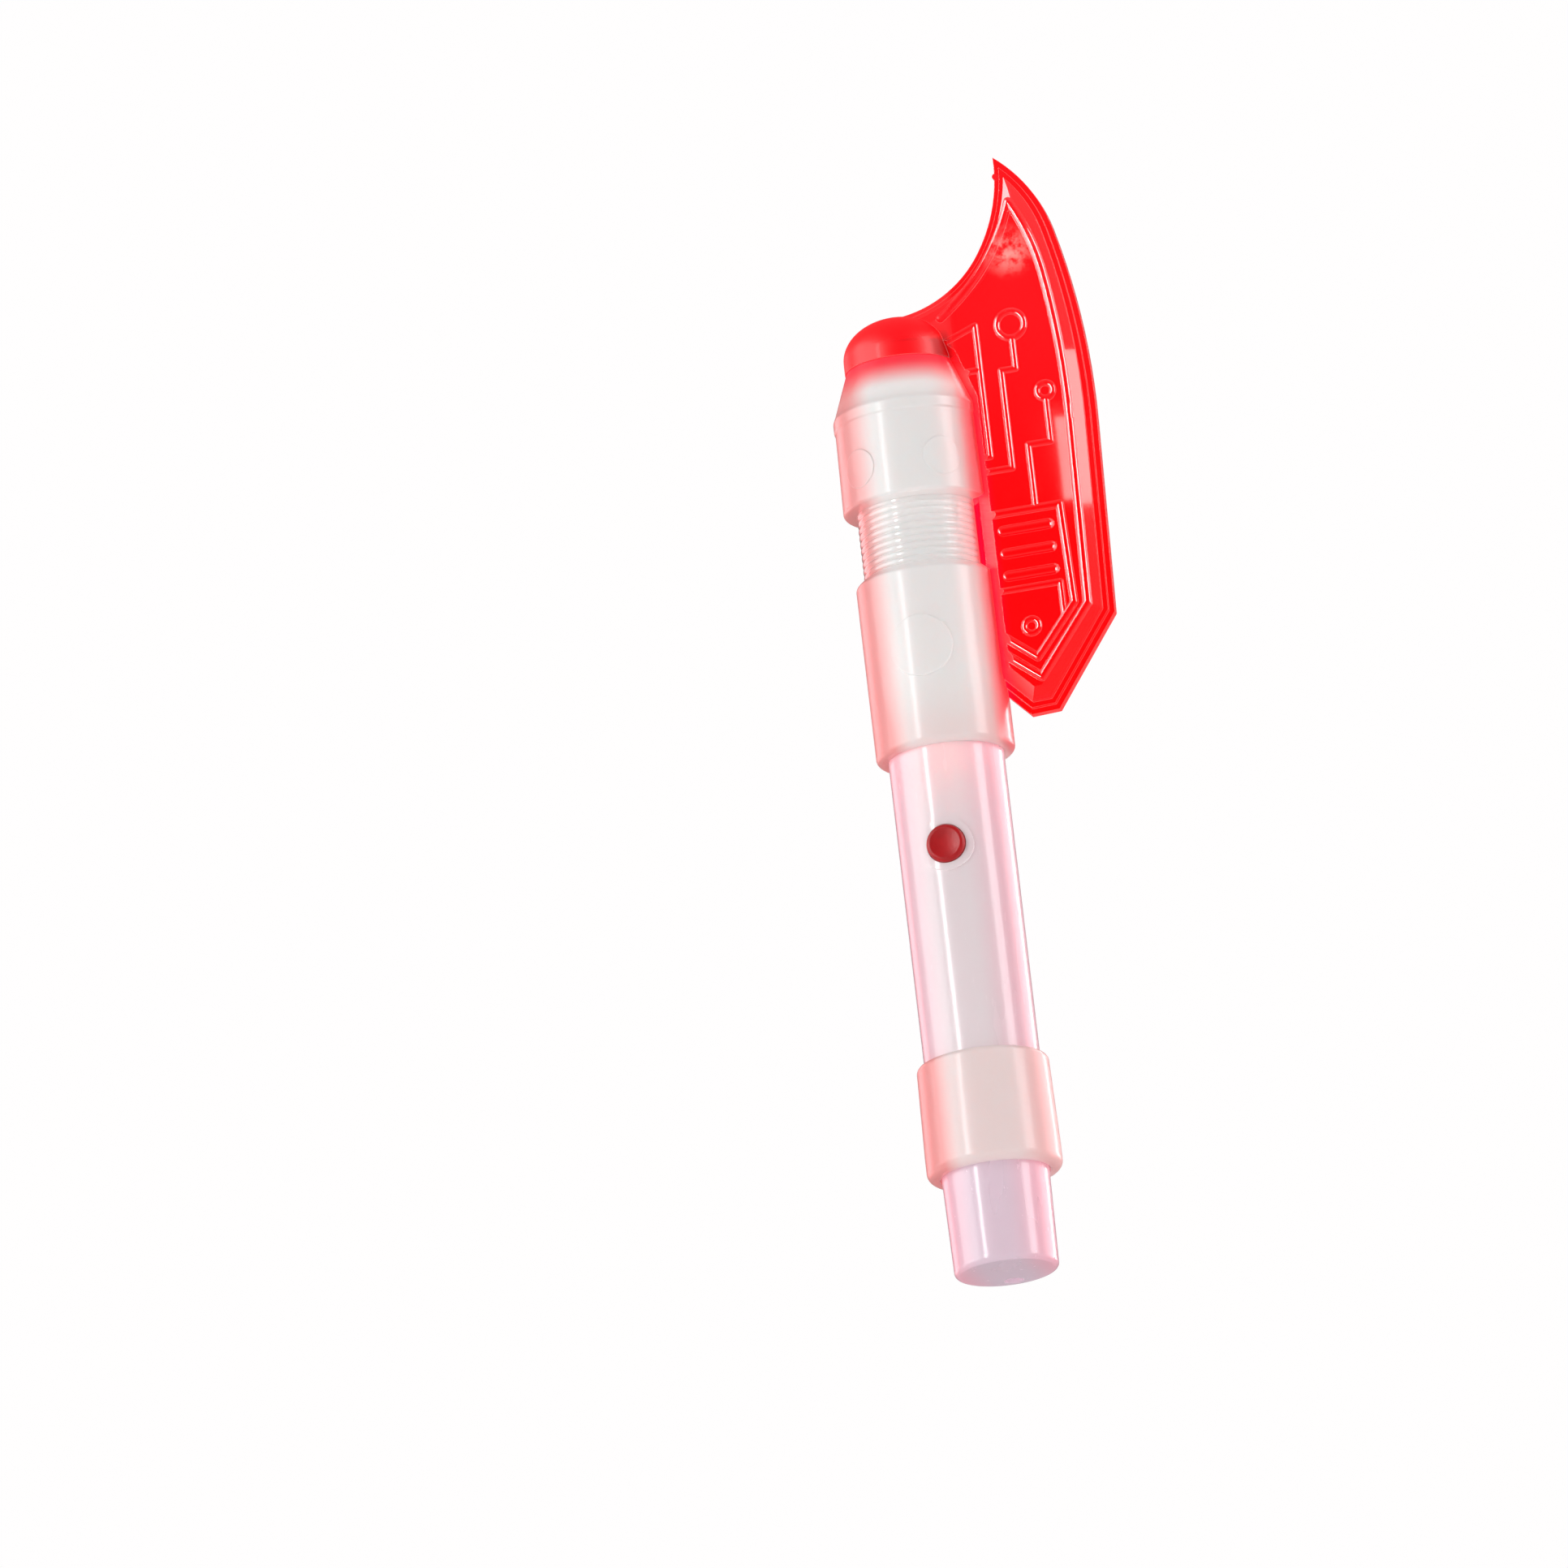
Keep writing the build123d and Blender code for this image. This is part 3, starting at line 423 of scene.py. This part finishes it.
print("solder joints")
solder = {"foot": 0.0010, "base": 0.00012,
          "steps": ((0.00022, 0.00006), (0.0002, 0.00018), (0.00012, 0.00026)),  # inset, rise
          "colour": rgb(0.66, 0.66, 0.67), "headLeadX": 0.0042, "legRadius": 0.00025, "lampUp": 0.001}


def solderPattern():
    # a concave cone of solder, flat below
    bpy.ops.object.select_all(action="DESELECT")
    bpy.ops.mesh.primitive_cylinder_add(vertices=24, radius=solder["foot"], depth=solder["base"],
                                        location=(0, 0, solder["base"] / 2))
    joint = bpy.context.object
    pick(joint, lambda face: face.normal.z > 0.9)
    for inward, rise in solder["steps"]:
        bpy.ops.mesh.inset(thickness=inward, depth=rise)
    settle(joint, metalPaint("solder", solder["colour"], 0.16), 60)
    return joint


def solderSpots():
    # the place and turn of every joint, from the leads, the legs and the boards they end on
    spots = []
    leg = solder["legRadius"]
    boardLow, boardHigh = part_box("circuit_board")
    discLow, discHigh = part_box("led_board")
    for colour in ("red", "black"):
        low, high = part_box("battery_lead_" + colour)
        spots.append(("solder_battery_" + colour, (middleOf(low, high)[0], boardHigh[1], high[2]), toRear))
        low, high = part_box("head_lead_" + colour)
        x = solder["headLeadX"] if low[0] > 0 else -solder["headLeadX"]
        spots.append(("solder_head_" + colour, (x, boardHigh[1], low[2]), toRear))
    low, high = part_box("barrel_led_legs")
    for side, x in (("left", low[0] + leg), ("right", high[0] - leg)):
        spots.append(("solder_lamp_" + side, (x, boardLow[1], low[2] + solder["lampUp"]), toFront))
    low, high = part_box("head_led_legs")
    for i, x in enumerate((low[0] + leg, high[0] - leg)):
        for j, y in enumerate((low[1] + leg, high[1] - leg)):
            spots.append((f"solder_leg_{i}{j}", (x, y, discLow[2]), down))
    return spots


joint = solderPattern()
for name, place, turn in solderSpots():
    copyTo(joint, name, place, turn, "baton")
bpy.data.objects.remove(joint)

print("spring ends")
springEnd = {"wire": 0.00035, "wide": 0.0039, "narrow": 0.0023, "gap": radians(25)}


def springRing(radius):
    # the dead coil that closes a spring, with a small gap
    bpy.ops.object.select_all(action="DESELECT")
    bpy.ops.mesh.primitive_torus_add(major_segments=56, minor_segments=12, major_radius=radius,
                                     minor_radius=springEnd["wire"])
    ring = bpy.context.object
    pick(ring, lambda face: abs(atan2(face.center.y, face.center.x)) < springEnd["gap"] / 2)
    bpy.ops.mesh.delete(type="FACE")
    bpy.ops.mesh.select_all(action="SELECT")
    bpy.ops.mesh.fill_holes(sides=0)
    settle(ring, nickel)
    return ring


for size in ("wide", "narrow"):
    ring = springRing(springEnd[size])
    for spring, body, wideBelow in (("bridge_spring", "end_cap", True), ("negative_spring", "baton", False)):
        low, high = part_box(spring)
        atFoot = wideBelow == (size == "wide")
        z = low[2] + springEnd["wire"] if atFoot else high[2] - springEnd["wire"]
        copyTo(ring, f"{spring}_{size}_end", (*middleOf(low, high), z), upright, body)
    bpy.data.objects.remove(ring)

print("stakes")
stake = {"radius": 0.0013, "flat": 0.45, "postY": 0.0032, "dimple": 0.0012, "post": 0.0007}


def stakeHead():
    # the melted head of a post, round above and flat below
    bpy.ops.object.select_all(action="DESELECT")
    bpy.ops.mesh.primitive_uv_sphere_add(segments=28, ring_count=14, radius=stake["radius"],
                                         scale=(1, 1, stake["flat"]))
    head = bpy.context.object
    bpy.ops.object.transform_apply(scale=True)
    bpy.ops.object.mode_set(mode="EDIT")
    bpy.ops.mesh.select_all(action="SELECT")
    bpy.ops.mesh.bisect(plane_co=(0, 0, 0), plane_no=(0, 0, 1), use_fill=True, clear_inner=True)
    settle(head, naturalCap)
    return head


head = stakeHead()
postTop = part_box("bridge_plate")[1][2] - stake["dimple"] + stake["post"]
for side, y in (("front", -stake["postY"]), ("rear", stake["postY"])):
    copyTo(head, "stake_" + side, (0, y, postTop), upright, "end_cap")
bpy.data.objects.remove(head)

print("cell ends")
cellEnd = {"nub": 0.0009, "washer": 0.0040, "washerHole": 0.0024, "washerDepth": 0.0003, "rim": 0.00475,
           "rimWire": 0.0003, "rimTuck": 0.6, "rimFlat": 0.4, "washerColour": rgb(0.74, 0.73, 0.69)}


def cellWasher():
    # the insulating ring round a cell's nub
    bpy.ops.object.select_all(action="DESELECT")
    bpy.ops.mesh.primitive_cylinder_add(vertices=48, radius=cellEnd["washer"], depth=cellEnd["washerDepth"],
                                        location=(0, 0, cellEnd["washerDepth"] / 2))
    washer = bpy.context.object
    pick(washer, lambda face: abs(face.normal.z) > 0.9)
    bpy.ops.mesh.inset(thickness=cellEnd["washer"] - cellEnd["washerHole"])
    bpy.ops.mesh.delete(type="FACE")
    bpy.ops.mesh.select_mode(type="EDGE")
    bpy.ops.mesh.select_non_manifold()
    bpy.ops.mesh.bridge_edge_loops()
    settle(washer, plainPlastic("cellWasher", cellEnd["washerColour"], 0.5))
    return washer


def sleeveRim():
    # the shrunk sleeve's edge where it turns over a cell's end
    bpy.ops.object.select_all(action="DESELECT")
    bpy.ops.mesh.primitive_torus_add(major_segments=64, minor_segments=10, major_radius=cellEnd["rim"],
                                     minor_radius=cellEnd["rimWire"])
    rim = bpy.context.object
    pick(rim, lambda face: face.center.z < -0.5 * cellEnd["rimWire"])
    bpy.ops.transform.resize(value=(1, 1, cellEnd["rimFlat"]), center_override=(0, 0, 0))
    settle(rim, plainPlastic("sleeveEdge", jacket["sleeve"], 0.3))
    return rim


washer = cellWasher()
rim = sleeveRim()
for cellName, nubUp in (("cell_upright", True), ("cell_inverted", False)):
    low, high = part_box(cellName)
    x, y = middleOf(low, high)
    nubEnd = high[2] - cellEnd["nub"] if nubUp else low[2] + cellEnd["nub"]
    flatEnd = low[2] if nubUp else high[2]
    nubTurn, flatTurn = (upright, down) if nubUp else (down, upright)
    tuck = cellEnd["rimWire"] * (cellEnd["rimTuck"] if nubUp else -cellEnd["rimTuck"])
    copyTo(washer, cellName + "_washer", (x, y, nubEnd), nubTurn, "baton")
    copyTo(rim, cellName + "_nub_rim", (x, y, nubEnd - tuck), nubTurn, "baton")
    copyTo(rim, cellName + "_flat_rim", (x, y, flatEnd + tuck), flatTurn, "baton")
bpy.data.objects.remove(washer)
bpy.data.objects.remove(rim)

print("switch pins")
switchPin = {"wide": 0.0007, "deep": 0.0010, "thick": 0.0006, "foot": 0.0005, "up": 0.00225, "edge": 0.00008,
             "colour": rgb(0.74, 0.73, 0.70)}


def pinPattern():
    # a pin that leaves the switch's side and turns its foot out along the board
    bpy.ops.object.select_all(action="DESELECT")
    bpy.ops.mesh.primitive_cube_add(size=1, scale=(switchPin["thick"], switchPin["deep"], switchPin["wide"]))
    pin = bpy.context.object
    bpy.ops.object.transform_apply(scale=True)
    pick(pin, lambda face: face.normal.y > 0.9)
    bpy.ops.mesh.extrude_region_move(TRANSFORM_OT_translate={"value": (0, switchPin["thick"] / 2, 0)})
    pick(pin, lambda face: face.normal.x > 0.9 and face.center.y > switchPin["deep"] / 2)
    bpy.ops.mesh.extrude_region_move(TRANSFORM_OT_translate={"value": (switchPin["foot"], 0, 0)})
    bpy.ops.mesh.select_all(action="SELECT")
    bpy.ops.mesh.bevel(offset=switchPin["edge"], segments=2)
    settle(pin, metalPaint("switchPin", switchPin["colour"], 0.22))
    return pin


pin = pinPattern()
low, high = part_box("switch_case")
middleZ = (low[2] + high[2]) / 2
reach = switchPin["deep"] / 2 + switchPin["thick"] / 2
for side, x, turn in (("left", low[0], toLeft), ("right", high[0], upright)):
    for level, z in (("low", middleZ - switchPin["up"]), ("high", middleZ + switchPin["up"])):
        copyTo(pin, f"switch_pin_{side}_{level}", (x, high[1] - reach, z), turn, "baton")
bpy.data.objects.remove(pin)

print("stage")
view = {"azimuth": 10.5, "elevation": -16.0, "roll": -6.7, "distance": 12.0, "acrossM": 0.3864,
        "aim": (-0.0406, 0.126), "sensor": 36.0, "clip": (0.05, 60.0)}


def makeCamera():
    azimuth, elevation = radians(view["azimuth"]), radians(view["elevation"])
    back = Vector((sin(azimuth) * cos(elevation), -cos(azimuth) * cos(elevation), sin(elevation)))
    right = Vector((cos(azimuth), sin(azimuth), 0.0))
    up = back.cross(right)
    aim = right * view["aim"][0] + up * view["aim"][1]
    roll = Matrix.Rotation(radians(view["roll"]), 4, "Z")
    camera = bpy.data.objects.new("camera", bpy.data.cameras.new("camera"))
    bpy.context.scene.collection.objects.link(camera)
    turn = Matrix((right, up, back)).transposed().to_4x4() @ roll
    camera.matrix_world = Matrix.Translation(aim + back * view["distance"]) @ turn
    camera.data.lens = view["sensor"] * view["distance"] / view["acrossM"]
    camera.data.clip_start, camera.data.clip_end = view["clip"]
    bpy.context.scene.camera = camera


floorLook = {"radius": 3.0, "under": -0.0003, "glow": 0.55, "glowColour": rgb(1.0, 0.99, 0.99),
             "dark": rgb(0.33, 0.33, 0.335), "light": rgb(0.36, 0.36, 0.36), "fade": (0.9, 2.9)}


def makeFloor():
    # pale above, clear from below because the camera looks up past it, and clear to reflections
    bpy.ops.object.select_all(action="DESELECT")
    bpy.ops.mesh.primitive_circle_add(vertices=96, radius=floorLook["radius"], fill_type="NGON",
                                      location=(0, 0, floorLook["under"]))
    floor = bpy.context.object
    floor.name = "floor"
    paint = Paint("paleFloor", Roughness=0.6, Emission_Strength=floorLook["glow"],
                  Emission_Color=floorLook["glowColour"])
    paint.feed(Base_Color=paint.blend(paint.noise(3.0), floorLook["dark"], floorLook["light"]))
    behind = paint.node("ShaderNodeNewGeometry", out="Backfacing")
    reach = paint.node("ShaderNodeVectorMath", {"operation": "LENGTH"}, [paint.place], out="Value")
    mirrored = paint.node("ShaderNodeLightPath", out="Is Glossy Ray")
    share = behind.math("MAXIMUM", reach.above(*floorLook["fade"])).math("MAXIMUM", mirrored)
    clear = paint.node("ShaderNodeBsdfTransparent")
    mixed = paint.node("ShaderNodeMixShader", None, [share, Signal(paint, paint.shader.outputs[0]), clear])
    paint.tree.links.new(mixed.socket, paint.tree.nodes["Material Output"].inputs["Surface"])
    floor.data.materials.append(paint.material)


backdropLook = {"colour": rgb(1.0, 0.99, 0.99), "seen": 1.0, "front": 0.015, "behind": 0.16,
                "turnY": (-0.9, -0.2)}


def makeWorld():
    # white to look at, and as a light dim in front and brighter behind
    world = bpy.data.worlds.new("studio")
    bpy.context.scene.world = world
    world.use_nodes = True
    tree = world.node_tree
    backdrop = tree.nodes["Background"]
    backdrop.inputs["Color"].default_value = backdropLook["colour"]
    where = tree.nodes.new("ShaderNodeTexCoord")
    split = tree.nodes.new("ShaderNodeSeparateXYZ")
    dim = tree.nodes.new("ShaderNodeMapRange")
    dim.inputs["From Min"].default_value, dim.inputs["From Max"].default_value = backdropLook["turnY"]
    dim.inputs["To Min"].default_value = backdropLook["front"]
    dim.inputs["To Max"].default_value = backdropLook["behind"]
    ray = tree.nodes.new("ShaderNodeLightPath")
    level = tree.nodes.new("ShaderNodeMapRange")
    level.inputs["To Max"].default_value = backdropLook["seen"]
    tree.links.new(where.outputs["Generated"], split.inputs[0])
    tree.links.new(split.outputs["Y"], dim.inputs["Value"])
    tree.links.new(dim.outputs[0], level.inputs["To Min"])
    tree.links.new(ray.outputs["Is Camera Ray"], level.inputs["Value"])
    tree.links.new(level.outputs[0], backdrop.inputs["Strength"])


middle = (0.0, 0.0, 0.15)
rimPink = (1.0, 0.35, 0.37)
cardPink = (1.0, 0.75, 0.72)
lights = {
    "keyLeft": {"place": (-0.60, -0.98, 0.35), "size": (0.14, 0.9), "power": 4.5},
    "frontLow": {"place": (-0.25, -1.00, -0.60), "size": (0.8, 0.6), "power": 18.0, "gloss": False},
    "sideLeft": {"place": (-1.15, -0.45, 0.50), "size": (1.1, 1.4), "power": 11.0, "matte": False},
    "fillLeft": {"place": (-1.15, -0.45, 0.35), "size": (1.1, 1.1), "power": 5.5, "gloss": False},
    "sideRight": {"place": (1.15, -0.25, 0.55), "size": (0.4, 1.0), "power": 6.0},
    "rimLeft": {"place": (-0.75, 0.6, 0.2), "size": (0.4, 0.9), "power": 3.0, "colour": rimPink},
    "rimRight": {"place": (0.75, 0.6, 0.2), "size": (0.4, 0.9), "power": 3.0, "colour": rimPink},
    "backCard": {"place": (0.1, 1.0, 0.2), "size": (1.1, 1.1), "power": 4.5, "gloss": False},
    "backKey": {"place": (0.60, 0.98, 0.45), "size": (0.16, 0.9), "power": 3.5},
    "backSide": {"place": (1.05, 0.75, 0.40), "size": (0.9, 1.2), "power": 3.0, "matte": False},
    "bevelCard": {"place": (0.463, -0.2535, 0.365), "target": (0.046, -0.005, 0.215), "size": (0.05, 0.09),
                  "power": 0.03, "colour": cardPink},
    "faceCard": {"place": (-0.0110, -0.289, 0.2868), "target": (0.0415, -0.0055, 0.204),
                 "size": (0.003, 0.021), "power": 0.0004, "colour": cardPink}}


def makeLight(name, place, size, power, target=middle, colour=(1, 1, 1), matte=True, gloss=True):
    # matte and gloss say whether it lights surfaces and whether it mirrors in them
    area = bpy.data.lights.new(name, "AREA")
    area.shape = "RECTANGLE"
    area.size, area.size_y = size
    area.energy = power
    area.color = colour
    holder = bpy.data.objects.new(name, area)
    bpy.context.scene.collection.objects.link(holder)
    holder.location = place
    holder.rotation_euler = (Vector(target) - Vector(place)).to_track_quat("-Z", "Y").to_euler()
    holder.visible_camera = False
    holder.visible_diffuse = matte
    holder.visible_glossy = gloss


makeCamera()
makeFloor()
makeWorld()
for name, light in lights.items():
    makeLight(name, **light)
bpy.context.scene.view_settings.view_transform = "Standard"
